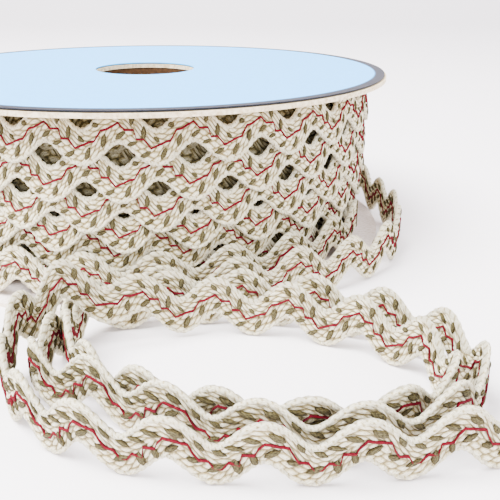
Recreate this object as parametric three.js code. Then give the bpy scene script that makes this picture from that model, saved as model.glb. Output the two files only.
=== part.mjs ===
// A roll of ric rac trim on a card spool, in millimetres, +Z up.
// The spool stands on its bottom flange at the origin. The braid is wound round the core in wavy rows,
// its last turn lies slack on the bottom flange, and the free end lies on edge in two loops in front.
import * as THREE from "three";

// Spool: two card flanges glued to the ends of a paper tube, and a paper label on the top one.
const FLANGE_RADIUS = 80;
const FLANGE_THICK = 1.2;
const SPOOL_HEIGHT = 53;
const HOLE_RADIUS = 16;
const TUBE_WALL = 2;
const LABEL_RADIUS = 79.4;
const LABEL_THICK = 0.3;
const GAP = 0.3;

// Ric rac: a flat braid that runs in a wave.
const BAND_WIDTH = 9.6;
const BAND_THICK = 1.7;
const BAND_BEVEL = 0.6;
const WAVE_SWING = 2.8;
const EDGE_TO_MID = BAND_WIDTH / 2 + WAVE_SWING;

// Wound part: how many waves go round a turn, and the steps that draw one wave.
const WAVES_PER_TURN = 25;
const STEPS_PER_WAVE = 6;
const WOUND_PHASE = -2.4;
const GAP_DEPTH = 2.4;
const LEAST_STEP = 0.3;

// Rows from the bottom up. Each leans a little, so that its lower edge lies over the row below it.
const ROW_COLUMNS = ["mid", "lowRadius", "topRadius", "phase"];
const ROWS = [
  [9.4, 72.2, 71.6, 0.5],
  [17.6, 72.8, 72.0, 0.1],
  [23.0, 74.0, 72.6, 0.0],
  [28.7, 74.4, 72.8, 0.5],
  [36.8, 74.6, 73.0, 0.0],
  [46.0, 74.8, 73.4, 0.5],
].map((cells) => Object.fromEntries(ROW_COLUMNS.map((name, i) => [name, cells[i]])));

// Slack turn: angle round the spool in degrees, distance from its axis, and how far it is raised.
const SLACK_COLUMNS = ["angle", "radius", "lift"];
const SLACK = [
  [-22.6, 74.6, 1.5],
  [-50, 75.8, 1.5],
  [-120, 76.0, 1.5],
  [-200, 76.4, 1.5],
  [-240, 77.4, 1.5],
  [-262, 80.2, 1.6],
  [-285, 82.6, 0.15],
  [-335, 82.0, 0.15],
  [-358.7, 81.9, 0.15],
].map((cells) => Object.fromEntries(SLACK_COLUMNS.map((name, i) => [name, cells[i]])));
const SLACK_WAVES = 23;

// Free end: one line for each crest of the wave, from the spool's right side to the bare end.
// The lean is in degrees, towards the right hand of the way it runs.
const ROUTE_COLUMNS = ["x", "y", "lift", "lean"];
const ROUTE = [
  [84.1, -13.3, 0.15, 0],
  [82.4, -30.4, 0.15, 0],
  [75.8, -46.4, 0.15, 0],
  [63.9, -59.2, 0.15, 0],
  [48.8, -67.6, 0.15, 0],
  [32.2, -75.4, 0.15, 0],
  [12.8, -81.4, 0.15, 0],
  [-6, -89.4, 0.15, 0],
  [-8, -109, 0.15, 0],
  [-8.6, -119.8, 0.15, 0],
  [4.4, -125.8, 0.15, 3],
  [20.4, -134.2, 0.15, 7],
  [37.6, -139.2, 0.15, 9],
  [55.4, -140.2, 0.15, 8],
  [72.6, -135.2, 0.15, 4],
  [82.6, -121.4, 0.15, 0],
  [78.8, -105.6, 0.15, 0],
  [67.2, -94.4, 0.15, 0],
  [51.6, -86.8, 0.15, 0],
  [33.6, -83.2, 0.15, 0],
  [15, -84.8, 0.15, 0],
  [-3.4, -90.4, 0.15, 0],
  [-4.6, -107.2, 0.15, 0],
  [2.6, -120.8, 0.15, 0],
  [15.2, -128.2, 0.15, 9],
  [30.4, -132.6, 0.15, 17],
  [46.4, -134.8, 0.15, 20],
  [62.2, -132.8, 0.15, 16],
  [74.6, -124.8, 0.15, 5],
  [73, -110, 0.15, 0],
  [61, -98.8, 0.15, 0],
  [44.9, -91.6, 0.15, 0],
  [27, -88.8, 0.15, 0],
  [10, -93, 2.8, 0],
  [-7.4, -98.9, 8.7, 0],
  [-15.8, -106.6, 3.6, 0],
  [-15, -119, 0.15, 0],
  [-7, -131.8, 0.15, 4],
  [5.4, -140, 0.15, 8],
  [21.2, -144.2, 0.15, 10],
  [38, -145.6, 0.15, 11],
  [55, -145, 0.15, 10],
  [72.2, -142.2, 0.15, 6],
  [89, -138.4, 0.15, 3],
  [105.4, -131, 0.15, 0],
].map((cells) => Object.fromEntries(ROUTE_COLUMNS.map((name, i) => [name, cells[i]])));
const STRAND_STEPS = 6;
const LEAST_LIFT = 0.15;

const TURN = 2 * Math.PI;

function material(name, color, roughness) {
  return new THREE.MeshStandardMaterial({ name, color, roughness, metalness: 0 });
}

// Joins rings of points, each ring once round the section, into one closed surface.
function skin(rings, closed) {
  const points = rings.flat();
  const around = rings[0].length;
  const faces = [];
  const last = closed ? rings.length : rings.length - 1;
  for (let i = 0; i < last; i++) {
    const here = i * around;
    const next = ((i + 1) % rings.length) * around;
    for (let j = 0; j < around; j++) {
      const k = (j + 1) % around;
      faces.push(here + j, next + j, next + k);
      faces.push(here + j, next + k, here + k);
    }
  }
  if (!closed) {
    const end = (rings.length - 1) * around;
    for (let j = 1; j < around - 1; j++) {
      faces.push(0, j, j + 1);
      faces.push(end, end + j + 1, end + j);
    }
  }
  const geometry = new THREE.BufferGeometry();
  geometry.setAttribute("position", new THREE.Float32BufferAttribute(points.flat(), 3));
  geometry.setIndex(faces);
  geometry.computeVertexNormals();
  return geometry;
}

function ringSolid(inner, outer, low, high, segments) {
  const rings = [];
  for (let i = 0; i < segments; i++) {
    const angle = (TURN * i) / segments;
    const at = (radius, z) => [radius * Math.cos(angle), radius * Math.sin(angle), z];
    rings.push([at(inner, low), at(outer, low), at(outer, high), at(inner, high)]);
  }
  return skin(rings, true);
}

// Height of a row's middle line at an angle round the spool.
function rowMiddle(row, angle) {
  const offset = (WOUND_PHASE / 180) * Math.PI;
  const wave = WAVES_PER_TURN * (angle + Math.PI / 2 + offset) + TURN * (row.phase + 0.5);
  return row.mid + WAVE_SWING * Math.cos(wave);
}

// Section of the wound braid at one angle: up the outside, row by row, and down the core.
function woundSection(angle, low, high) {
  const profile = [];
  const floor = ROWS[0].topRadius - GAP_DEPTH;
  profile.push([floor, low]);
  let previous = null;
  ROWS.forEach((row, index) => {
    const middle = rowMiddle(row, angle);
    let foot = Math.max(middle - BAND_WIDTH / 2, low + LEAST_STEP);
    if (previous) {
      foot = Math.max(foot, previous.foot + 2 * LEAST_STEP);
      const head = Math.min(previous.head, foot - LEAST_STEP);
      const open = Math.min(1, (foot - LEAST_STEP - head) / 1.2);
      const depth = previous.radius - GAP_DEPTH * open;
      profile.push([previous.radius, head]);
      profile.push([depth, head + LEAST_STEP / 3]);
      profile.push([depth, foot - LEAST_STEP / 3]);
    }
    profile.push([row.lowRadius, foot]);
    const limit = index === ROWS.length - 1 ? high : high - 2;
    previous = { foot, head: Math.min(middle + BAND_WIDTH / 2, limit), radius: row.topRadius };
  });
  profile.push([previous.radius, Math.min(previous.head, high - LEAST_STEP)]);
  profile.push([previous.radius - GAP_DEPTH, high]);
  profile.push([HOLE_RADIUS + TUBE_WALL + GAP, high]);
  profile.push([HOLE_RADIUS + TUBE_WALL + GAP, low]);
  return profile;
}

function woundRoll(low, high) {
  const rings = [];
  const count = WAVES_PER_TURN * STEPS_PER_WAVE;
  for (let i = 0; i < count; i++) {
    const angle = (TURN * i) / count;
    rings.push(
      woundSection(angle, low, high).map(([radius, z]) => [
        radius * Math.cos(angle),
        radius * Math.sin(angle),
        z,
      ]),
    );
  }
  return skin(rings, true);
}

// Value of a column of the slack table at an angle, eased between its lines.
function slackAt(angle, column) {
  let i = 0;
  while (i < SLACK.length - 2 && angle < SLACK[i + 1].angle) i++;
  const a = SLACK[i];
  const b = SLACK[i + 1];
  const share = (angle - a.angle) / (b.angle - a.angle);
  const ease = share * share * (3 - 2 * share);
  return a[column] + (b[column] - a[column]) * ease;
}

// Crests of the whole loose part: the slack turn first, then the free end.
function crests() {
  const list = [];
  const first = SLACK[0].angle;
  const last = SLACK[SLACK.length - 1].angle;
  for (let i = 0; i <= SLACK_WAVES; i++) {
    const angle = first + ((last - first) * i) / SLACK_WAVES;
    const radius = slackAt(angle, "radius");
    const a = (angle / 180) * Math.PI;
    list.push(new THREE.Vector3(radius * Math.cos(a), radius * Math.sin(a), slackAt(angle, "lift")));
  }
  ROUTE.forEach((row) => list.push(new THREE.Vector3(row.x, row.y, row.lift)));
  return list;
}

// The braid on edge: its middle line rises and falls once between two crests.
function looseStrand() {
  const points = crests();
  const curve = new THREE.CatmullRomCurve3(points, false, "centripetal");
  const upright = new Array(points.length - ROUTE.length).fill(0);
  const leans = upright.concat(ROUTE.map((row) => row.lean));
  const waves = points.length - 1;
  const count = waves * STRAND_STEPS;
  const half = BAND_THICK / 2;
  const edge = BAND_WIDTH / 2;
  const section = [
    [0, -edge],
    [half, BAND_BEVEL - edge],
    [half, edge - BAND_BEVEL],
    [0, edge],
    [-half, edge - BAND_BEVEL],
    [-half, BAND_BEVEL - edge],
  ];
  const rings = [];
  for (let i = 0; i <= count; i++) {
    const place = curve.getPoint(i / count);
    const along = curve.getTangent(i / count);
    const side = new THREE.Vector3(along.y, -along.x, 0).normalize();
    const foot = Math.max(place.z, LEAST_LIFT);
    const rise = EDGE_TO_MID + WAVE_SWING * Math.cos((TURN * i) / STRAND_STEPS);
    const before = Math.min(Math.floor(i / STRAND_STEPS), waves - 1);
    const share = i / STRAND_STEPS - before;
    const lean = ((leans[before] * (1 - share) + leans[before + 1] * share) * Math.PI) / 180;
    rings.push(
      section.map(([out, up]) => {
        const sideways = out * Math.cos(lean) + (rise + up) * Math.sin(lean);
        const height = foot + (rise + up) * Math.cos(lean) - out * Math.sin(lean);
        return [place.x + side.x * sideways, place.y + side.y * sideways, height];
      }),
    );
  }
  return skin(rings, false);
}

const part = new THREE.Group();
function add(name, geometry, look) {
  const mesh = new THREE.Mesh(geometry, look);
  mesh.name = name;
  part.add(mesh);
}

const card = material("greyboard", 0xd9cbb4, 0.9);
const woundLow = FLANGE_THICK + GAP;
const woundHigh = SPOOL_HEIGHT - FLANGE_THICK - GAP;

add("flange_bottom", ringSolid(HOLE_RADIUS, FLANGE_RADIUS, 0, FLANGE_THICK, 90), card);
add(
  "flange_top",
  ringSolid(HOLE_RADIUS, FLANGE_RADIUS, SPOOL_HEIGHT - FLANGE_THICK, SPOOL_HEIGHT, 90),
  material("greyboard_top", 0xe4d8c4, 0.9),
);
add(
  "label",
  ringSolid(
    HOLE_RADIUS + 0.4,
    LABEL_RADIUS,
    SPOOL_HEIGHT + GAP,
    SPOOL_HEIGHT + GAP + LABEL_THICK,
    90,
  ),
  material("blue_paper", 0xcfe6f8, 0.7),
);
add(
  "core_tube",
  ringSolid(HOLE_RADIUS, HOLE_RADIUS + TUBE_WALL, woundLow, woundHigh, 48),
  material("kraft_tube", 0xb08a5c, 0.9),
);
add("wound_ric_rac", woundRoll(woundLow, woundHigh), material("cotton_wound", 0xede6d3, 0.95));
add("loose_ric_rac", looseStrand(), material("cotton_loose", 0xf0ead9, 0.95));

export default part;
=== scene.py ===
# A roll of ric rac: a card spool, the braid wound on it in wavy rows, and a loose end lying on edge.
# Lengths are in millimetres until mm() turns them into metres.
import math

import bpy
import numpy as np
from mathutils import Matrix, Vector


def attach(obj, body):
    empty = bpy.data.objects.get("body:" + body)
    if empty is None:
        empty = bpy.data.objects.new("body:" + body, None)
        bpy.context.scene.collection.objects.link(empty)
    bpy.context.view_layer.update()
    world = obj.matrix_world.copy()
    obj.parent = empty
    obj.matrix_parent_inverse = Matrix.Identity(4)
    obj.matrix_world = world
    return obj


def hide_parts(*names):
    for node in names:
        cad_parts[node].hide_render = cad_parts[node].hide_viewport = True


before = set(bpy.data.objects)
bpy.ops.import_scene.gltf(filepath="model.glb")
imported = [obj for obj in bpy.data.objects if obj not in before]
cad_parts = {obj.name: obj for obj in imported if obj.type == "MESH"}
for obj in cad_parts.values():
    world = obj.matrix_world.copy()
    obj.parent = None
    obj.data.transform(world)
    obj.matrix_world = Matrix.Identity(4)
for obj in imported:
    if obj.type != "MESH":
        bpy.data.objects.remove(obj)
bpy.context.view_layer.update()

# Camera: 252 mm from the spool's axis and 84 mm above its foot, looking down. Angles are in degrees.
CAMERA_PLACE = (35.4, -249.4, 84.3)
CAMERA_DOWN = 21.09
CAMERA_ROLL = 0.15
CAMERA_LENS = 52.19
CAMERA_SENSOR = 36.0
# The nearest and farthest that the camera sees, in metres.
CAMERA_NEAR = 0.01
CAMERA_FAR = 20.0

# Spool
FLANGE_RADIUS = 80.0
FLANGE_THICK = 1.2
SPOOL_HEIGHT = 53.0

# Ric rac: its band, and how far the band's middle line swings up and down in each wave.
BAND_WIDTH = 9.6
WAVE_SWING = 2.8
EDGE_TO_MID = BAND_WIDTH / 2 + WAVE_SWING
LEAST_LIFT = 0.15
# Points to each wave of the line that a braid follows.
WAVE_STEPS = 24
# The share by which a line across the band stands square to the wave, and not straight up.
EDGE_SPREAD = 0.14

# Faces: height of the hollows over the middle of the braid, and of the plies over the hollows.
FACE_HEIGHT = 0.4
PLY_HEIGHT = 0.45
PLY_PITCH = 1.75
# Slant of the plies over and under the middle line, as a way along for each millimetre across.
PLY_SLANT_OVER = 1.25
PLY_SLANT_UNDER = -0.85
# Height of a ply across its width, in five rows of points, and along it, one float to three columns.
PLY_PROFILE = (0.08, 0.7, 0.96, 1.0, 0.74)
FLOAT_PROFILE = (0.1, 0.9, 1.0)
FLOAT_COLUMNS = 3
# Each float is this plump at least, and up to this much more.
PLUMP_LEAST = 0.72
PLUMP_MORE = 0.28
FACE_INSET = 0.5
FRONT_COLUMNS = 17
BACK_COLUMNS = 19
# The plies lie straighter over this length before a cut end.
END_STRAIGHT = 8.0

# Cut ends: half the spread of the plies' ends, and the share of it that they are squeezed to.
END_HALF = 1.1
END_SQUEEZE = 0.85
END_INSET = 0.3
# They stand out this far at least, and up to this much more, but the edge cords by only a share of that.
END_LEAST = 0.35
END_MORE = 0.5
END_CORD_FROM = 4.2
END_CORD_SHARE = 0.3
END_COLUMNS = 19
END_LAYERS = 7

# Cords along both edges: their radius, the swell of their plies, and the way from one ring to the next.
EDGE_CORD = 0.74
EDGE_LUMPS = (0.80, 1.06, 1.12)
EDGE_STEP = 0.5
# How fast painted shade darkens a cord or yarn towards the hollows between its lumps.
LUMP_SHADE = 2.6

# Crimson yarn: how far it steps down and up in a wave, and where its top is over the wave's middle line.
RED_SWING = 6.3
RED_TOP = 3.3
RED_RADIUS = 0.3
RED_LUMPS = (0.9, 1.02, 1.1)
RED_SIDES = 5
# Rings of points in each stretch of it as long as a wave.
RED_STEPS = 20
# It lies in the face at this share of a ply's height, and ends this many waves before a cut end.
RED_BED = 0.95
RED_END = 0.02

# Olive floats: how high they bulge, and the share of a ply's height that they lie at.
LEAF_BULGE = 0.42
LEAF_BED = 0.72
# Half of a float's length and width, as a share of the sizes in the pattern.
LEAF_FILL = 0.56
# Its outline: how near the tips come to a point, how long it keeps its width, and how round it is.
LEAF_TIP = 0.97
LEAF_LONG = 2.1
LEAF_ROUND = 0.75
# None comes nearer than this to the band's edge, in millimetres, or to a cut end, in waves.
LEAF_INSET = 0.7
LEAF_END = 0.15
LEAF_RINGS = 5
LEAF_AROUND = 6
# How much they differ from one another, in size and in degrees of slant.
LEAF_SIZES = 0.14
LEAF_SLANTS = 10
# How much painted shade darkens a float at its sides and its tips, and how much darker one float is than
# another, at random.
LEAF_SIDE_SHADE = 0.75
LEAF_TIP_SHADE = 0.4
LEAF_SHADES = 0.3

# Finer tufts across a face, round a cord or yarn and across a float than along them.
FACE_TUFTS = 1.3
ROUND_TUFTS = 2
LEAF_TUFTS = 1.6
# Each float starts somewhere else in the tufts, up to this far off.
LEAF_TUFTS_SHIFT = 9

# What the random draws start from, for each piece of braid.
FRONT_SEED = 1
BACK_SEED = 2
LOOSE_YARN_SEED = 11
ROW_SEED = 40
ROW_YARN_SEED = 50
UNDER_SEED = 60

# Wound rows, from the bottom up: middle height, radius of the outer face low and high, wave phase.
WAVES_PER_TURN = 25
WOUND_PHASE = -2.4
ROWS = [
    (9.4, 72.2, 71.6, 0.5),
    (17.6, 72.8, 72.0, 0.1),
    (23.0, 74.0, 72.6, 0.0),
    (28.7, 74.4, 72.8, 0.5),
    (36.8, 74.6, 73.0, 0.0),
    (46.0, 74.8, 73.4, 0.5),
]
# The layer below, which shows in the gaps, made of fewer points.
UNDER_COLUMNS = 9
UNDER_PLY_ROWS = 3
UNDER_EDGE_STEP = 1.6
UNDER_EDGE_SIDES = 4
INNER_ROWS = [
    (13.4, 69.4, 68.8, 0.3),
    (20.4, 69.6, 69, 0.8),
    (26.4, 69.8, 69.2, 0.15),
    (32.6, 70, 69.2, 0.3),
    (41.4, 70.2, 69.4, 0.78),
    (49, 70.4, 69.8, 0.1),
]

# No row is wound quite level: how far it wanders, how many times a turn, and the shift with its height.
ROW_WANDER = ((0.28, 2, 1), (0.2, 5, 3), (0.12, 9, 7))
# Under the top flange a crest is pressed down over the last stretch and bends inwards. All drops a little.
ROW_CEILING = SPOOL_HEIGHT - FLANGE_THICK - 0.2
PRESS_STRETCH = 1.5
PRESS_DROP = 0.1
PRESS_INWARDS = 0.35

# What fills the roll, clear of the tube, the flanges and the layer below.
FILL_INNER = 18.4
FILL_RADIUS = 65.6
FILL_FOOT = 1.6
FILL_TOP = 51.4
FILL_SIDES = 120

# Slack turn: angle round the spool in degrees, distance from its axis, and how far it is raised.
SLACK_WAVES = 23
SLACK = [
    (-22.6, 74.6, 1.5),
    (-50, 75.8, 1.5),
    (-120, 76.0, 1.5),
    (-200, 76.4, 1.5),
    (-240, 77.4, 1.5),
    (-262, 80.2, 1.6),
    (-285, 82.6, 0.15),
    (-335, 82.0, 0.15),
    (-358.7, 81.9, 0.15),
]

# Free end: x, y, lift and lean in degrees at each crest of the wave.
ROUTE = [
    (84.1, -13.3, 0.15, 0),
    (82.4, -30.4, 0.15, 0),
    (75.8, -46.4, 0.15, 0),
    (63.9, -59.2, 0.15, 0),
    (48.8, -67.6, 0.15, 0),
    (32.2, -75.4, 0.15, 0),
    (12.8, -81.4, 0.15, 0),
    (-6, -89.4, 0.15, 0),
    (-8, -109, 0.15, 0),
    (-8.6, -119.8, 0.15, 0),
    (4.4, -125.8, 0.15, 3),
    (20.4, -134.2, 0.15, 7),
    (37.6, -139.2, 0.15, 9),
    (55.4, -140.2, 0.15, 8),
    (72.6, -135.2, 0.15, 4),
    (82.6, -121.4, 0.15, 0),
    (78.8, -105.6, 0.15, 0),
    (67.2, -94.4, 0.15, 0),
    (51.6, -86.8, 0.15, 0),
    (33.6, -83.2, 0.15, 0),
    (15, -84.8, 0.15, 0),
    (-3.4, -90.4, 0.15, 0),
    (-4.6, -107.2, 0.15, 0),
    (2.6, -120.8, 0.15, 0),
    (15.2, -128.2, 0.15, 9),
    (30.4, -132.6, 0.15, 17),
    (46.4, -134.8, 0.15, 20),
    (62.2, -132.8, 0.15, 16),
    (74.6, -124.8, 0.15, 5),
    (73, -110, 0.15, 0),
    (61, -98.8, 0.15, 0),
    (44.9, -91.6, 0.15, 0),
    (27, -88.8, 0.15, 0),
    (10, -93, 2.8, 0),
    (-7.4, -98.9, 8.7, 0),
    (-15.8, -106.6, 3.6, 0),
    (-15, -119, 0.15, 0),
    (-7, -131.8, 0.15, 4),
    (5.4, -140, 0.15, 8),
    (21.2, -144.2, 0.15, 10),
    (38, -145.6, 0.15, 11),
    (55, -145, 0.15, 10),
    (72.2, -142.2, 0.15, 6),
    (89, -138.4, 0.15, 3),
    (105.4, -131, 0.15, 0),
]

# Pattern of one wave as seen from its own side: along in waves from the crest, height from the red crest.
RED_WOUND = [
    (0.0, 0.0), (0.086, -0.27), (0.197, -0.27), (0.24, -0.64), (0.325, -0.64), (0.422, -1.0),
    (0.625, -0.75), (0.679, -0.72), (0.775, -0.30), (0.839, -0.26), (1.0, 0.0),
]
RED_BACK = [
    (0.0, 0.0), (0.227, -0.15), (0.28, -0.45), (0.34, -0.7), (0.435, -0.73), (0.495, -1.0),
    (0.578, -1.0), (0.643, -0.756), (0.738, -0.83), (0.774, -0.44), (0.893, -0.44),
    (0.929, -0.22), (1.0, 0.0),
]
# Leaves: along in waves, height from the red crest, length, width, slant in degrees.
LEAVES_WOUND = [
    (-0.016, 1.8, 2.2, 1.0, -55),
    (0.164, 1, 3.0, 1.1, -88),
    (0.32, -2.5, 3.1, 1.1, -86),
    (0.5, -4.1, 1.9, 1.0, -40),
    (0.72, -0.6, 1.5, 1.3, 20),
    (0.025, -3, 2.8, 1.2, 32),
    (0.19, -5.1, 2.2, 1.0, 16),
    (0.36, -7.8, 2.4, 1.1, 36),
    (0.58, -7.6, 3.1, 1.1, 66),
    (0.79, -4.4, 3.1, 1.1, 72),
]
LEAVES_BACK = [
    (0.107, 1.3, 3.1, 1.42, -37),
    (-0.119, 0.6, 2.9, 1.30, -20),
    (-0.28, -1.3, 2.8, 1.06, -12),
    (-0.446, -2.5, 3.0, 1.30, -28),
    (0.33, -0.9, 3.0, 1.18, -60),
    (0.077, -2.4, 2.9, 1.42, 30),
    (-0.119, -4, 2.8, 1.30, 96),
    (-0.285, -5.8, 3.1, 1.42, 92),
    (-0.487, -6.4, 3.0, 1.30, 28),
    (0.295, -4.6, 2.2, 1.18, -25),
]

TAU = 2 * math.pi

# Floor, wall and light, in metres and watts. The floor lies just under the foot of the spool.
FLOOR_HALF = 3.0
FLOOR_BACK = 1.6
FLOOR_BEND = 0.6
FLOOR_BEND_STEPS = 8
FLOOR_DROP = 0.00002
WALL_HEIGHT = 2.4
ROOM_STRENGTH = 3.1
# Each lamp's name, place, width and power.
LAMPS = [
    ("key", (-0.45, -0.30, 0.95), 0.7, 72.0),
    ("fill", (0.9, -0.7, 0.7), 1.2, 20.0),
]
LAMP_AIM = (0.02, -0.05, 0.02)

# Finishes. The mottling of board and paper, in patches to a metre: 1.1 and 1.4 mm, the finest that shows.
CARD_GRAIN = 900.0
LABEL_GRAIN = 700.0
# The tufts of yarn, in patches to a millimetre, their stretch, and the depth that they are lit as, in metres.
FIBRE_GRAIN = 1.5
FIBRE_STRETCH = (1.2, 2.4, 1.0)
FIBRE_DEPTH = 0.0007
# Paper and cotton bend light alike, and neither shines.
FIBRE_IOR = 1.5
DULL_GLOSS = 0.2
LABEL_BLUE = "#48B4FE"
# Where the navy band starts, as a share of the flange's radius.
LABEL_RIM_FROM = 0.955

# Which of the looks of a braid each yarn has.
COTTON_LOOK = 0
CRIMSON_LOOK = 1
OLIVE_LOOK = 2


def mm(value):
    return np.asarray(value, float) / 1000.0


def linear(hex_colour):
    """An sRGB hex colour as linear red, green, blue and alpha."""
    parts = [int(hex_colour[i : i + 2], 16) / 255 for i in (1, 3, 5)]
    return tuple(c / 12.92 if c <= 0.04045 else ((c + 0.055) / 1.055) ** 2.4 for c in parts) + (1.0,)


# Camera


def add_camera():
    """The camera that the spool's rims and hole were matched with."""
    data = bpy.data.cameras.new("camera")
    data.lens = CAMERA_LENS
    data.sensor_width = CAMERA_SENSOR
    data.clip_start = CAMERA_NEAR
    data.clip_end = CAMERA_FAR
    camera = bpy.data.objects.new("camera", data)
    bpy.context.collection.objects.link(camera)
    tilt = Matrix.Rotation(math.radians(90 - CAMERA_DOWN), 4, "X")
    roll = Matrix.Rotation(math.radians(CAMERA_ROLL), 4, "Z")
    camera.matrix_world = Matrix.Translation(mm(CAMERA_PLACE)) @ tilt @ roll
    bpy.context.scene.camera = camera
    return camera


# Materials


def new_material(name):
    made = bpy.data.materials.new(name)
    made.use_nodes = True
    made.node_tree.nodes.clear()
    return made


def node(tree, kind, settings=None, links=None):
    """Adds a node, sets its properties and sockets, and joins the sockets named in links."""
    made = tree.nodes.new(kind)
    for key, value in (settings or {}).items():
        if isinstance(key, int) or key in made.inputs:
            made.inputs[key].default_value = value
        else:
            setattr(made, key, value)
    for key, source in (links or {}).items():
        tree.links.new(source, made.inputs[key])
    return made


def ramp(tree, source, stops):
    """The colour at a value between stops of (place, sRGB hex colour)."""
    made = node(tree, "ShaderNodeValToRGB", links={"Fac": source})
    elements = made.color_ramp.elements
    while len(elements) < len(stops):
        elements.new(0.5)
    for element, (place, colour) in zip(elements, stops):
        element.position = place
        element.color = linear(colour)
    return made.outputs["Color"]


def blend(tree, factor, first, second, mode="MIX"):
    """Two colours mixed by a factor, each a value or a node's output."""
    made = node(tree, "ShaderNodeMix", {"data_type": "RGBA", "blend_type": mode})
    for socket, value in ((made.inputs[0], factor), (made.inputs[6], first), (made.inputs[7], second)):
        if isinstance(value, bpy.types.NodeSocket):
            tree.links.new(value, socket)
        else:
            socket.default_value = value
    return made.outputs[2]


def finish_material(tree, colour, roughness, normal=None, sheen=0.0):
    """The surface of paper or cotton, in a colour that is a value or comes from a node."""
    shader = node(tree, "ShaderNodeBsdfPrincipled", {"Roughness": roughness, "IOR": FIBRE_IOR})
    shader.inputs["Sheen Weight"].default_value = sheen
    shader.inputs["Specular IOR Level"].default_value = DULL_GLOSS
    if isinstance(colour, bpy.types.NodeSocket):
        tree.links.new(colour, shader.inputs["Base Color"])
    else:
        shader.inputs["Base Color"].default_value = colour
    if normal is not None:
        tree.links.new(normal, shader.inputs["Normal"])
    output = node(tree, "ShaderNodeOutputMaterial")
    tree.links.new(shader.outputs[0], output.inputs["Surface"])


def fibre_bump(tree, coordinates):
    """Spun fibres. Real ones are too fine to show, so they are drawn as coarser tufts."""
    mapping = node(tree, "ShaderNodeMapping", {"Scale": FIBRE_STRETCH}, {"Vector": coordinates})
    noise = node(
        tree,
        "ShaderNodeTexNoise",
        {"Scale": FIBRE_GRAIN, "Detail": 3.0, "Roughness": 0.6},
        {"Vector": mapping.outputs[0]},
    )
    bump = node(
        tree,
        "ShaderNodeBump",
        {"Strength": 1.0, "Distance": FIBRE_DEPTH},
        {"Height": noise.outputs["Fac"]},
    )
    return noise.outputs["Fac"], bump.outputs[0]


def yarn_material(name, light, middle, dark, sheen, hollow_shade):
    """Spun cotton yarn, plain or dyed: soft and matt, tufted, with painted shade in the hollows between
    plies.
    """
    made = new_material(name)
    tree = made.node_tree
    uv = node(tree, "ShaderNodeUVMap", {"uv_map": "yarn"}).outputs[0]
    grain, normal = fibre_bump(tree, uv)
    tone_and_painted_shade = ramp(tree, grain, [(0.34, dark), (0.46, middle), (0.58, light)])
    # Painted shade: the shade attribute darkens the colour towards the hollow colour where the braid's
    # surface lies low.
    shade = node(tree, "ShaderNodeAttribute", {"attribute_name": "shade"}).outputs["Fac"]
    depth = ramp(tree, shade, [(0.0, hollow_shade), (0.26, "#C4B996"), (0.6, "#FFFFFF")])
    colour = blend(tree, 1.0, tone_and_painted_shade, depth, "MULTIPLY")
    finish_material(tree, colour, 0.88, normal, sheen)
    return made


def card_material(name, face, edge, line):
    """Pressed board, cut with a die: matt and mottled, and its cut edge can differ from its face."""
    made = new_material(name)
    tree = made.node_tree
    place = node(tree, "ShaderNodeTexCoord").outputs["Object"]
    noise = node(
        tree,
        "ShaderNodeTexNoise",
        {"Scale": CARD_GRAIN, "Detail": 4.0, "Roughness": 0.65},
        {"Vector": place},
    ).outputs["Fac"]
    face_colour = ramp(tree, noise, [(0.3, line), (0.62, face)])
    edge_colour = ramp(tree, noise, [(0.35, line), (0.6, edge)])
    normal = node(tree, "ShaderNodeNewGeometry").outputs["Normal"]
    up = node(tree, "ShaderNodeSeparateXYZ", links={"Vector": normal})
    flat = node(tree, "ShaderNodeMath", {"operation": "ABSOLUTE"}, {0: up.outputs["Z"]})
    colour = blend(tree, flat.outputs[0], edge_colour, face_colour)
    bump = node(tree, "ShaderNodeBump", {"Strength": 0.35, "Distance": 0.0002}, {"Height": noise})
    finish_material(tree, colour, 0.85, bump.outputs[0])
    return made


def label_material():
    """Coated paper printed pale blue, with a navy band at its rim: smooth and even, with a faint grain."""
    made = new_material("coated paper, printed pale blue")
    tree = made.node_tree
    place = node(tree, "ShaderNodeTexCoord").outputs["Object"]
    flat = node(tree, "ShaderNodeVectorMath", {"operation": "MULTIPLY", 1: (1.0, 1.0, 0.0)}, {0: place})
    radius = node(tree, "ShaderNodeVectorMath", {"operation": "LENGTH"}, {0: flat.outputs[0]})
    whole = mm(FLANGE_RADIUS).item()
    share = node(tree, "ShaderNodeMath", {"operation": "DIVIDE", 1: whole}, {0: radius.outputs["Value"]})
    rings = ramp(
        tree,
        share.outputs[0],
        [
            (0.0, LABEL_BLUE),
            (LABEL_RIM_FROM - 0.005, "#47B3FE"),
            (LABEL_RIM_FROM, "#1C2438"),
            (LABEL_RIM_FROM + 0.005, "#0C1120"),
            (1.0, "#0A0E1A"),
        ],
    )
    noise = node(
        tree,
        "ShaderNodeTexNoise",
        {"Scale": LABEL_GRAIN, "Detail": 3.0},
        {"Vector": place},
    ).outputs["Fac"]
    grain = ramp(tree, noise, [(0.3, "#F4F6F8"), (0.7, "#FFFFFF")])
    colour = blend(tree, 1.0, rings, grain, "MULTIPLY")
    bump = node(tree, "ShaderNodeBump", {"Strength": 0.08, "Distance": 0.0001}, {"Height": noise})
    finish_material(tree, colour, 0.5, bump.outputs[0])
    return made


# Undyed cotton: creamy, with a soft bloom on its plies.
COTTON = yarn_material(
    "off-white cotton yarn, braided",
    light="#FFFAE4",
    middle="#F3E7C2",
    dark="#BFB184",
    sheen=0.15,
    hollow_shade="#685C3C",
)
# The same yarn deep in the roll, where little light falls: dull and dark.
UNDER = yarn_material(
    "off-white cotton yarn of the layer below, in painted shade",
    light="#B0A888",
    middle="#8C846A",
    dark="#5E5842",
    sheen=0.0,
    hollow_shade="#4A4430",
)
# Dyed in the yarn: deep red through and through, with no bloom.
CRIMSON = yarn_material(
    "crimson cotton yarn, laid in the braid",
    light="#84021E",
    middle="#68001A",
    dark="#3A0010",
    sheen=0.0,
    hollow_shade="#9A7078",
)
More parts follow.
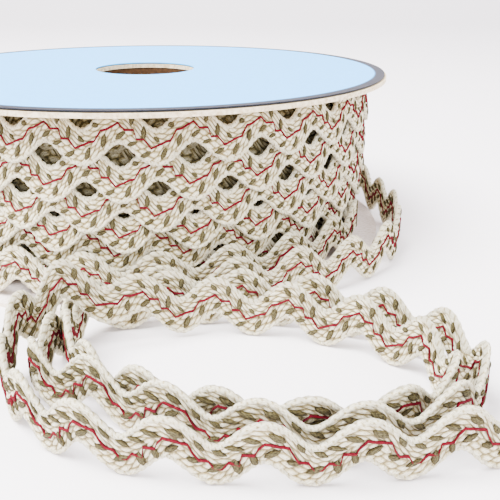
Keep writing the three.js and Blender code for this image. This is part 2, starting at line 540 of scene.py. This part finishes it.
# Dyed in the yarn: a brown olive, darkened by painted shade at the sides and tips of each float.
OLIVE = yarn_material(
    "olive cotton yarn, floats of the braid",
    light="#6A6240",
    middle="#463E26",
    dark="#241E10",
    sheen=0.0,
    hollow_shade="#5A5238",
)
LOOKS = [COTTON, CRIMSON, OLIVE]
# Board under the label: sandy, and paler at its cut edge.
CARD_TOP = card_material("greyboard with a kraft edge, top", face="#DDC9A6", edge="#E6D6BA", line="#B8A27C")
# Board lined with paper: nearly white, with a warmer cut edge.
CARD_FOOT = card_material(
    "greyboard with a white paper face, foot", face="#F3E8E4", edge="#E0D2BF", line="#D8C8BC"
)
# Unbleached board, wound and glued: dark brown inside the hole.
KRAFT = card_material("kraft board tube", face="#4A3018", edge="#4A3018", line="#301C0C")
LABEL = label_material()


# Meshes


def build(name, parts, material_list):
    """One object from parts of (points in mm, faces, yarn coordinates in mm, shade, look)."""
    points = np.concatenate([p[0] for p in parts])
    faces, uvs, shades, picks, start = [], [], [], [], 0
    for place, quads, uv, shade, pick in parts:
        faces.append(quads + start)
        uvs.append(uv)
        shades.append(shade)
        picks.append(np.full(len(quads), pick))
        start += len(place)
    faces = np.concatenate(faces)
    uvs = np.concatenate(uvs)
    shades = np.concatenate(shades)
    mesh = bpy.data.meshes.new(name)
    mesh.vertices.add(len(points))
    mesh.vertices.foreach_set("co", mm(points).astype(np.float32).ravel())
    mesh.loops.add(faces.size)
    mesh.loops.foreach_set("vertex_index", faces.astype(np.int32).ravel())
    mesh.polygons.add(len(faces))
    mesh.polygons.foreach_set("loop_start", np.arange(0, faces.size, 4, dtype=np.int32))
    mesh.polygons.foreach_set("use_smooth", np.ones(len(faces), bool))
    mesh.polygons.foreach_set("material_index", np.concatenate(picks).astype(np.int32))
    layer = mesh.uv_layers.new(name="yarn")
    layer.data.foreach_set("uv", uvs[faces.ravel()].astype(np.float32).ravel())
    attribute = mesh.attributes.new("shade", "FLOAT", "POINT")
    attribute.data.foreach_set("value", shades.astype(np.float32))
    for look in material_list:
        mesh.materials.append(look)
    mesh.update(calc_edges=True)
    mesh.validate()
    made = bpy.data.objects.new(name, mesh)
    bpy.context.collection.objects.link(made)
    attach(made, "root")
    return made


def grid_faces(rows, columns, wrap=False, loop=False):
    """Quads of a grid of points; wrap joins the last column to the first, and loop the last row."""
    across = columns if wrap else columns - 1
    along = rows if loop else rows - 1
    i, j = np.meshgrid(np.arange(along), np.arange(across), indexing="ij")
    k = (j + 1) % columns
    n = (i + 1) % rows
    quads = np.stack([i * columns + j, n * columns + j, n * columns + k, i * columns + k], -1)
    return quads.reshape(-1, 4)


# The line that a length of braid follows


def crests_of_loose():
    """Foot and lean at each crest: the slack turn, then the free end."""
    angles = np.linspace(SLACK[0][0], SLACK[-1][0], SLACK_WAVES + 1)
    places = []
    for angle in angles:
        i = 0
        while i < len(SLACK) - 2 and angle < SLACK[i + 1][0]:
            i += 1
        first, second = SLACK[i], SLACK[i + 1]
        share = (angle - first[0]) / (second[0] - first[0])
        ease = share * share * (3 - 2 * share)
        radius = first[1] + (second[1] - first[1]) * ease
        lift = first[2] + (second[2] - first[2]) * ease
        a = math.radians(angle)
        places.append((radius * math.cos(a), radius * math.sin(a), lift, 0.0))
    return np.array(places + ROUTE, float)


def smooth_line(crests, steps):
    """Points on a centripetal Catmull-Rom curve through the crests, with the lean between them."""
    places = crests[:, :3]
    padded = np.vstack([2 * places[0] - places[1], places, 2 * places[-1] - places[-2]])
    made = []
    for i in range(len(places) - 1):
        p0, p1, p2, p3 = padded[i : i + 4]
        gaps = [math.sqrt(np.linalg.norm(b - a)) for a, b in ((p0, p1), (p1, p2), (p2, p3))]
        t1 = (p1 - p0) / gaps[0] - (p2 - p0) / (gaps[0] + gaps[1]) + (p2 - p1) / gaps[1]
        t2 = (p2 - p1) / gaps[1] - (p3 - p1) / (gaps[1] + gaps[2]) + (p3 - p2) / gaps[2]
        t1, t2 = t1 * gaps[1], t2 * gaps[1]
        for step in range(steps):
            t = step / steps
            here = (
                p1 + t1 * t + (3 * (p2 - p1) - 2 * t1 - t2) * t**2 + (2 * (p1 - p2) + t1 + t2) * t**3
            )
            lean = crests[i, 3] * (1 - t) + crests[i + 1, 3] * t
            made.append((*here, lean))
    made.append(tuple(crests[-1]))
    return np.array(made)


class Lay:
    """Where a length of braid lies. Its points are given as waves along, millimetres across and out."""

    def __init__(self, line, steps, loop=False, ceiling=None):
        self.steps = steps
        self.ceiling = ceiling
        self.loop = loop
        self.waves = (len(line) if loop else len(line) - 1) / steps
        self.line = line
        ahead = np.roll(line[:, :2], -1, 0) - np.roll(line[:, :2], 1, 0)
        if not loop:
            ahead[0] = line[1, :2] - line[0, :2]
            ahead[-1] = line[-1, :2] - line[-2, :2]
        size = np.linalg.norm(ahead, axis=1)
        self.side = np.stack([ahead[:, 1] / size, -ahead[:, 0] / size], 1)
        pitch = size / 2 * steps
        if not loop:
            pitch[0] *= 2
            pitch[-1] *= 2
        self.pitch = pitch

    def at(self, values, waves):
        """The values of the line's points, taken between them, so many waves along."""
        place = waves * self.steps
        if self.loop:
            place = np.mod(place, len(self.line))
            low = np.floor(place).astype(int) % len(self.line)
            high = (low + 1) % len(self.line)
            share = place - np.floor(place)
        else:
            place = np.clip(place, 0, len(self.line) - 1)
            low = np.minimum(place.astype(int), len(self.line) - 2)
            high = low + 1
            share = place - low
        if values.ndim > 1:
            share = share[..., None]
        return values[low] * (1 - share) + values[high] * share

    def points(self, waves, across, out):
        """Places in space, from waves along and from millimetres across and out from the band's middle."""
        waves, across, out = np.broadcast_arrays(waves, across, out)
        waves = np.clip(waves, 0, self.waves) if not self.loop else waves
        pitch = self.at(self.pitch, waves)
        slope = -TAU * WAVE_SWING * np.sin(TAU * waves) / pitch
        shifted = waves - EDGE_SPREAD * across * slope / pitch
        rise = EDGE_TO_MID + WAVE_SWING * np.cos(TAU * waves) + across
        line = self.at(self.line, shifted)
        side = self.at(self.side, shifted)
        lean = np.radians(line[..., 3])
        sideways = out * np.cos(lean) + rise * np.sin(lean)
        height = np.maximum(line[..., 2], LEAST_LIFT) + rise * np.cos(lean) - out * np.sin(lean)
        if self.ceiling is not None:
            over = np.maximum(height - (self.ceiling - PRESS_STRETCH), 0)
            pressed = PRESS_STRETCH * (1 - np.exp(-over / PRESS_STRETCH))
            height = height - over + pressed - PRESS_DROP
            sideways = sideways - PRESS_INWARDS * over
        return np.stack(
            [
                line[..., 0] + side[..., 0] * sideways,
                line[..., 1] + side[..., 1] * sideways,
                height,
            ],
            -1,
        )


def row_lay(mid, low_radius, top_radius, phase):
    """A wound row: a closed ring whose lower edge stands out over the row below."""
    lean = math.degrees(math.atan2(low_radius - top_radius, BAND_WIDTH))
    count = WAVES_PER_TURN * WAVE_STEPS
    turn = np.arange(count) / count * TAU
    start = -math.pi / 2 - math.radians(WOUND_PHASE) - TAU * (phase + 0.5) / WAVES_PER_TURN
    middle_radius = (low_radius + top_radius) / 2 - FACE_HEIGHT - PLY_HEIGHT
    foot_radius = middle_radius + EDGE_TO_MID * math.sin(math.radians(lean))
    wander = sum(size * np.sin(times * turn + shift * mid) for size, times, shift in ROW_WANDER)
    line = np.stack(
        [
            foot_radius * np.cos(turn + start),
            foot_radius * np.sin(turn + start),
            mid + wander - EDGE_TO_MID * math.cos(math.radians(lean)),
            np.full(count, -lean),
        ],
        1,
    )
    return Lay(line, WAVE_STEPS, loop=True, ceiling=ROW_CEILING)


# Parts of the braid


def face_part(lay, sign, columns, seed, rows_per_ply=len(PLY_PROFILE)):
    """One face of the braid: plies in two slants that meet at the middle line, each in short floats."""
    random = np.random.default_rng(seed)
    pitch = float(np.mean(lay.pitch))
    total = lay.waves * pitch
    plies = FLOAT_COLUMNS * round(total / PLY_PITCH / FLOAT_COLUMNS)
    count = plies * rows_per_ply
    row = np.arange(count + (0 if lay.loop else 1))
    column = np.abs(np.arange(columns) - columns // 2)
    along = row * total / count
    half = BAND_WIDTH / 2 - FACE_INSET
    across = np.linspace(-half, half, columns)
    to_end = np.minimum(along, total - along)
    fade = 1.0 if lay.loop else np.clip(to_end / END_STRAIGHT, 0, 1)[:, None]
    shear = -sign * np.where(across > 0, PLY_SLANT_OVER * across, PLY_SLANT_UNDER * across)
    place = along[:, None] + shear[None, :] * fade
    ply = row // rows_per_ply
    ridge = np.array(PLY_PROFILE)[(row % rows_per_ply * len(PLY_PROFILE)) // rows_per_ply]
    over = column[None, :] + ply[:, None]
    plump = PLUMP_LEAST + PLUMP_MORE * random.random((plies + 1, columns))
    float_height = np.array(FLOAT_PROFILE)[over % FLOAT_COLUMNS]
    height = ridge[:, None] * float_height * plump[ply[:, None], over // FLOAT_COLUMNS % columns]
    out = sign * (FACE_HEIGHT + PLY_HEIGHT * height)
    points = lay.points(place / pitch, across[None, :], out)
    faces = grid_faces(len(along), columns, loop=lay.loop)
    if sign > 0:
        faces = faces[:, ::-1]
    uv = np.stack(np.broadcast_arrays(across[None, :] * FACE_TUFTS, along[:, None]), -1)
    # The heights also serve as painted shade: low places, the crevices between plies and between floats, are
    # darker.
    return points.reshape(-1, 3), faces, uv.reshape(-1, 2), height.ravel(), COTTON_LOOK


def end_part(lay, waves, ahead):
    """The cut end of the braid: the plies' ends, standing out a little way between the two faces."""
    random = np.random.default_rng(int(waves))
    half = BAND_WIDTH / 2 - END_INSET
    across = np.linspace(-half, half, END_COLUMNS)
    out = np.linspace(-END_HALF, END_HALF, END_LAYERS)
    stand_out = END_LEAST + END_MORE * random.random((END_COLUMNS, 1))
    crown = (1 - (out[None, :] / END_HALF) ** 2) * stand_out
    crown = crown * np.where(np.abs(across) > END_CORD_FROM, END_CORD_SHARE, 1.0)[:, None]
    along = np.full((END_COLUMNS, END_LAYERS), float(waves))
    base = lay.points(along, across[:, None], END_SQUEEZE * out[None, :])
    way = lay.side[0 if waves == 0 else -1]
    forward = ahead * np.array([-way[1], way[0], 0.0])
    points = base + crown[..., None] * forward
    uv = np.stack(np.broadcast_arrays(across[:, None], out[None, :] * ROUND_TUFTS), -1)
    faces = grid_faces(END_COLUMNS, END_LAYERS)
    if ahead > 0:
        faces = faces[:, ::-1]
    # The crown also serves as painted shade: the plies' ends are darker where they stand out least.
    return points.reshape(-1, 3), faces, uv.reshape(-1, 2), crown.ravel(), COTTON_LOOK


def tube_part(lay, waves, across, out, radius, sides, look, lumps):
    """A yarn or cord that runs along the braid, with lumps that wind round it as its plies do."""
    count = len(waves)
    turn = np.arange(sides) / sides * TAU
    swell = np.array(lumps)[(np.arange(count)[:, None] + np.arange(sides)[None, :]) % len(lumps)]
    up = radius * swell * np.cos(turn)[None, :]
    sideways = radius * swell * np.sin(turn)[None, :]
    points = lay.points(waves[:, None], across[:, None] + up, out[:, None] + sideways)
    faces = grid_faces(count, sides, wrap=True, loop=lay.loop)
    pitch = float(np.mean(lay.pitch))
    uv = np.stack(np.broadcast_arrays(waves[:, None] * pitch, turn[None, :] * radius * ROUND_TUFTS), -1)
    # Painted shade: a cord or yarn is darker in the hollows where its lumps swell least.
    tone_and_painted_shade = np.clip(1 - LUMP_SHADE * (max(lumps) - swell), 0.1, 1)
    return points.reshape(-1, 3), faces, uv.reshape(-1, 2), tone_and_painted_shade.ravel(), look


def edge_parts(lay, step, sides=5):
    """The cords along both edges, where the plies turn back."""
    pitch = float(np.mean(lay.pitch))
    lumps = len(EDGE_LUMPS)
    count = lumps * int(lay.waves * pitch / step / lumps)
    waves = np.arange(count + (0 if lay.loop else 1)) / count * lay.waves
    made = []
    for end in (-1, 1):
        across = np.full(len(waves), end * (BAND_WIDTH / 2 - EDGE_CORD))
        middle = np.zeros(len(waves))
        made.append(tube_part(lay, waves, across, middle, EDGE_CORD, sides, COTTON_LOOK, EDGE_LUMPS))
    return made


def red_part(lay, sign, pattern, last):
    """The crimson yarn from the start to the last wave, which steps up and down once a wave."""
    knots = np.array(pattern)
    pitch = float(np.mean(lay.pitch))
    share = []
    for (a, ya), (b, yb) in zip(knots[:-1], knots[1:]):
        length = math.hypot((b - a) * pitch, (yb - ya) * RED_SWING)
        pieces = max(1, round(length / pitch * RED_STEPS))
        share += [(a + (b - a) * k / pieces, ya + (yb - ya) * k / pieces) for k in range(pieces)]
    share = np.array(share)
    whole = np.arange(last)
    along = (whole[:, None] + share[None, :, 0]).ravel()
    height = np.tile(share[:, 1], len(whole)) * RED_SWING + RED_TOP
    if sign < 0:
        along = last - along
    across = height - WAVE_SWING * np.cos(TAU * along)
    if not lay.loop:
        keep = (along > RED_END) & (along < lay.waves - RED_END)
        along, across = along[keep], across[keep]
    out = np.full(len(along), sign * (FACE_HEIGHT + PLY_HEIGHT * RED_BED))
    part = tube_part(lay, along, across, out, RED_RADIUS, RED_SIDES, CRIMSON_LOOK, RED_LUMPS)
    if sign < 0:
        part = (part[0], part[1][:, ::-1], *part[2:])
    return part


def leaf_part(lay, sign, leaves, last, seed):
    """Olive floats, each a short pointed bulge that lies on the face."""
    random = np.random.default_rng(seed)
    limit = BAND_WIDTH / 2 - LEAF_INSET
    ends = np.linspace(-1, 1, LEAF_RINGS)
    swell = np.clip(1 - np.abs(ends * LEAF_TIP) ** LEAF_LONG, 0, 1) ** LEAF_ROUND
    turn = np.linspace(0, math.pi, LEAF_AROUND)
    points, faces, uvs, shades = [], [], [], []
    base = grid_faces(LEAF_RINGS, LEAF_AROUND)
    start = 0
    for wave in range(last):
        for place, height, length, width, slant in leaves:
            centre = wave + sign * place
            if not lay.loop and not LEAF_END < centre < lay.waves - LEAF_END:
                continue
            size = 1 + LEAF_SIZES * (random.random() - 0.5)
            angle = math.radians(slant + LEAF_SLANTS * (random.random() - 0.5))
            pitch = float(lay.at(lay.pitch, np.array([centre % lay.waves]))[0])
            lengthwise = ends[:, None] * length * size * LEAF_FILL
            sideways = swell[:, None] * np.cos(turn)[None, :] * width * size * LEAF_FILL
            bulge = swell[:, None] * np.sin(turn)[None, :] * LEAF_BULGE
            dx = lengthwise * math.cos(angle) - sideways * math.sin(angle)
            dz = lengthwise * math.sin(angle) + sideways * math.cos(angle)
            middle = WAVE_SWING * math.cos(TAU * centre)
            across = height + RED_TOP - middle + dz
            out = sign * (FACE_HEIGHT + PLY_HEIGHT * LEAF_BED + bulge)
            waves = centre + sign * dx / pitch
            # The leaf keeps its own height, so the wave's own rise is taken out along its length.
            across = across + middle - WAVE_SWING * np.cos(TAU * waves)
            across = np.clip(across, -limit, limit)
            points.append(lay.points(waves, across, out).reshape(-1, 3))
            faces.append((base if sign > 0 else base[:, ::-1]) + start)
            uv = np.stack(np.broadcast_arrays(lengthwise, sideways * LEAF_TUFTS), -1)
            uvs.append(uv.reshape(-1, 2) + random.random() * LEAF_TUFTS_SHIFT)
            # Painted shade at the float's sides and tips, and a tone that differs at random from float to
            # float.
            edge = np.abs(np.cos(turn))[None, :] ** 2 + LEAF_TIP_SHADE * np.abs(ends[:, None]) ** 3
            tone_and_painted_shade = 1.0 - LEAF_SIDE_SHADE * edge - LEAF_SHADES * random.random()
            shades.append(np.clip(tone_and_painted_shade, 0.05, 1).ravel())
            start += LEAF_RINGS * LEAF_AROUND
    return (
        np.concatenate(points),
        np.concatenate(faces),
        np.concatenate(uvs),
        np.concatenate(shades),
        OLIVE_LOOK,
    )


def braid_yarns(name, lay, faces, seed):
    """The crimson and olive yarns of one length of ric rac. faces lists (sign, red line, leaves)."""
    waves = int(math.ceil(lay.waves))
    parts = []
    for sign, red_line, leaves in faces:
        parts.append(red_part(lay, sign, red_line, waves))
        parts.append(leaf_part(lay, sign, leaves, waves, seed + sign))
    return build(name, parts, LOOKS)


def add_loose():
    """The slack turn and the free end: one face with edges and cut ends, the other face, and the yarns."""
    lay = Lay(smooth_line(crests_of_loose(), WAVE_STEPS), WAVE_STEPS)
    ends = [end_part(lay, 0, -1), end_part(lay, lay.waves, 1)]
    front = [face_part(lay, 1, FRONT_COLUMNS, FRONT_SEED)] + edge_parts(lay, EDGE_STEP) + ends
    made = build("loose_braid", front, LOOKS)
    yarn_faces = [(1, RED_BACK, LEAVES_BACK), (-1, RED_WOUND, LEAVES_WOUND)]
    others = [
        build("loose_braid_back", [face_part(lay, -1, BACK_COLUMNS, BACK_SEED)], LOOKS),
        braid_yarns("loose_braid_yarns", lay, yarn_faces, LOOSE_YARN_SEED),
    ]
    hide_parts("loose_ric_rac")
    waves = np.linspace(0, lay.waves, int(lay.waves * WAVE_STEPS) + 1)
    path = mm(lay.points(waves, 0.0, 0.0))


def add_wound():
    """The roll: the rows that show, the layer below them, and what fills it."""
    for index, row in enumerate(ROWS):
        lay = row_lay(*row)
        parts = edge_parts(lay, EDGE_STEP)
        parts.append(face_part(lay, 1, FRONT_COLUMNS, ROW_SEED + index))
        build(f"wound_row_{index + 1}", parts, LOOKS)
        yarn_faces = [(1, RED_WOUND, LEAVES_WOUND)]
        braid_yarns(f"wound_row_{index + 1}_yarns", lay, yarn_faces, ROW_YARN_SEED + index)
    for index, row in enumerate(INNER_ROWS):
        lay = row_lay(*row)
        parts = edge_parts(lay, UNDER_EDGE_STEP, UNDER_EDGE_SIDES)
        parts.append(face_part(lay, 1, UNDER_COLUMNS, UNDER_SEED + index, UNDER_PLY_ROWS))
        build(f"wound_under_{index + 1}", parts, [UNDER])
    turn = np.arange(FILL_SIDES) / FILL_SIDES * TAU
    profile = [
        (FILL_INNER, FILL_FOOT),
        (FILL_RADIUS, FILL_FOOT),
        (FILL_RADIUS, FILL_TOP),
        (FILL_INNER, FILL_TOP),
    ]
    rings = np.array([[(r * math.cos(t), r * math.sin(t), z) for r, z in profile] for t in turn])
    points = rings.reshape(-1, 3)
    faces = grid_faces(FILL_SIDES, len(profile), wrap=True, loop=True)
    # The filling takes shade 0 all over, so it is painted in the darkest shade of its yarn.
    filling = (points, faces, points[:, :2], np.zeros(len(points)), COTTON_LOOK)
    core = build("wound_core", [filling], [UNDER])
    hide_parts("wound_ric_rac")


def add_stage():
    """A pale floor that bends up into a wall, a bright room, and two soft lamps."""
    mesh = bpy.data.meshes.new("floor")
    profile = [(-FLOOR_HALF, 0.0), (FLOOR_BACK - FLOOR_BEND, 0.0)]
    for step in range(1, FLOOR_BEND_STEPS + 1):
        a = step / FLOOR_BEND_STEPS * math.pi / 2
        away = FLOOR_BACK - FLOOR_BEND + FLOOR_BEND * math.sin(a)
        profile.append((away, FLOOR_BEND - FLOOR_BEND * math.cos(a)))
    profile.append((FLOOR_BACK, WALL_HEIGHT))
    points = [(x, y, z - FLOOR_DROP) for x in (-FLOOR_HALF, FLOOR_HALF) for y, z in profile]
    n = len(profile)
    mesh.from_pydata(points, [], [(i, i + 1, n + i + 1, n + i) for i in range(n - 1)])
    for polygon in mesh.polygons:
        polygon.use_smooth = True
    floor = bpy.data.objects.new("floor", mesh)
    bpy.context.collection.objects.link(floor)
    # Uncoated paper on a roll: matt and even, so it takes soft shadows.
    look = new_material("matt studio paper")
    finish_material(look.node_tree, linear("#F1ECEF"), 0.9)
    mesh.materials.append(look)
    world = bpy.data.worlds.new("studio")
    world.use_nodes = True
    background = world.node_tree.nodes["Background"]
    background.inputs["Color"].default_value = linear("#F4F2F6")
    background.inputs["Strength"].default_value = ROOM_STRENGTH
    bpy.context.scene.world = world
    for name, place, size, power in LAMPS:
        data = bpy.data.lights.new(name, "AREA")
        data.size = size
        data.energy = power
        lamp = bpy.data.objects.new(name, data)
        bpy.context.collection.objects.link(lamp)
        lamp.location = place
        away = np.array(place) - np.array(LAMP_AIM)
        lamp.rotation_mode = "QUATERNION"
        lamp.rotation_quaternion = Vector(away).to_track_quat("Z", "Y")


add_camera()
add_loose()
add_wound()
for name, look, slot in (
    ("flange_top", CARD_TOP, "card"),
    ("flange_bottom", CARD_FOOT, "card"),
    ("label", LABEL, "label_paper"),
    ("core_tube", KRAFT, "tube_kraft"),
):
    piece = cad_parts[name]
    piece.data.materials.clear()
    piece.data.materials.append(look)
add_stage()
